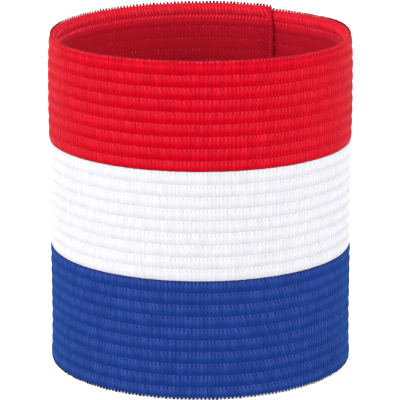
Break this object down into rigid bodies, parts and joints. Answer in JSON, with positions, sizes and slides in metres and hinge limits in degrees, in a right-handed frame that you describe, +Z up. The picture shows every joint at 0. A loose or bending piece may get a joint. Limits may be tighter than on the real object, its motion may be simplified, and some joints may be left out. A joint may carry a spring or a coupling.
{
  "type": "captain armband",
  "caption": "Wide ribbed elastic armband in red, white and blue stripes, open at both ends, standing round, with a lapped and sewn seam at the back.",
  "frame": {"origin": "centre of the round bottom edge, on the surface that the band stands on", "axes": "+Z up along the opening, from the blue edge to the red edge; -Y is the front; the inner end of the strip stops at the back, 59 degrees from +X towards +Y"},
  "size_m": [0.0724, 0.0727, 0.0803],
  "materials": {
    "red_knit": "matt ribbed elastic knit, polyester over rubber",
    "white_knit": "matt ribbed elastic knit, polyester over rubber",
    "blue_knit": "matt ribbed elastic knit, polyester over rubber"
  },
  "bodies": {
    "root": {"red_stripe": "red_knit", "white_stripe": "white_knit", "blue_stripe": "blue_knit"}
  },
  "joints": []
}
